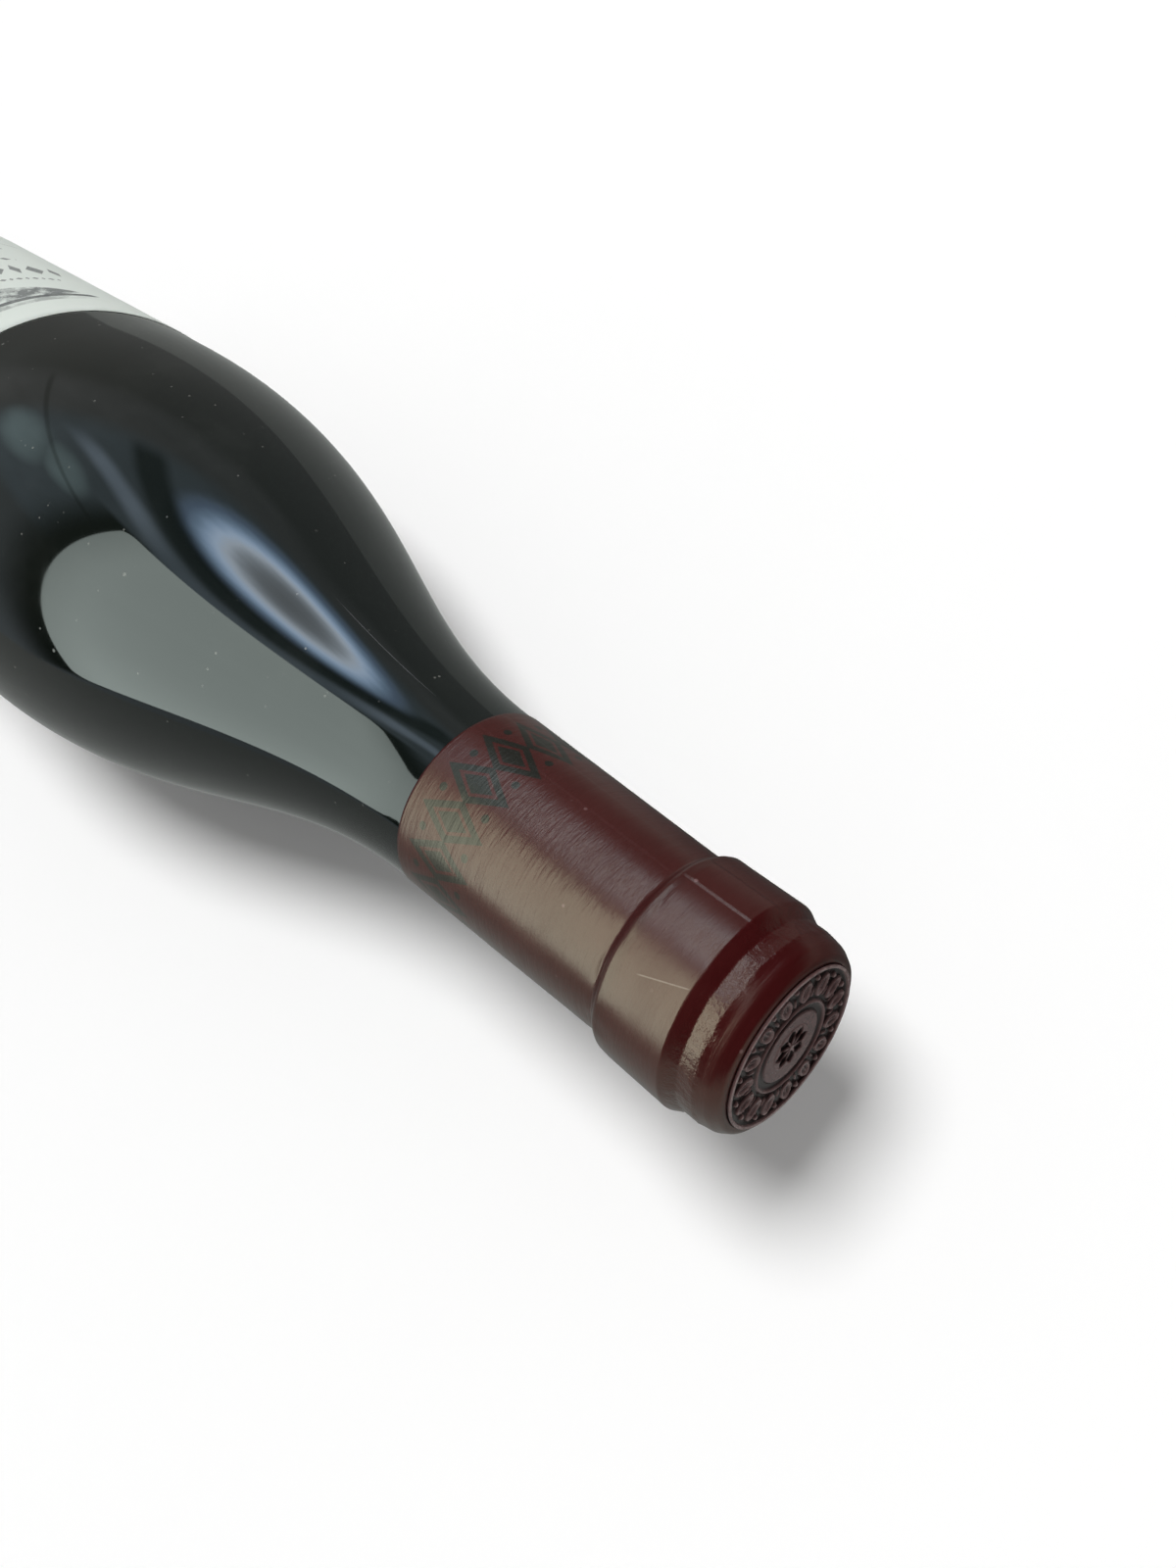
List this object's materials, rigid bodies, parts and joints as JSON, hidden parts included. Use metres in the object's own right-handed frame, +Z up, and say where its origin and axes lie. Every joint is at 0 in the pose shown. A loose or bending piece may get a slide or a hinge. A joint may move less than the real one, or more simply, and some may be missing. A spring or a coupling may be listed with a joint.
{
  "type": "wine bottle",
  "caption": "Full dark glass wine bottle with sloping shoulders, a foil capsule with an embossed top disc, a paper front label and a punt in its base, lying on its side.",
  "frame": {"origin": "centre of the bounding box's underside: on the surface the bottle lies on, half-way along its length", "axes": "+X along the bottle's axis from its base to its mouth, +Z up, the side with the label, +Y to the left of +X"},
  "size_m": [0.296, 0.082, 0.082],
  "materials": {
    "glass": "near-black green bottle glass, polished, too dark to see into when full",
    "foil": "dark burgundy satin foil",
    "label": "pale greenish white uncoated paper with grey print"
  },
  "bodies": {
    "root": {"glass_bottle": "glass", "capsule_skirt": "foil", "capsule_disc": "foil", "front_label": "label"}
  },
  "joints": []
}
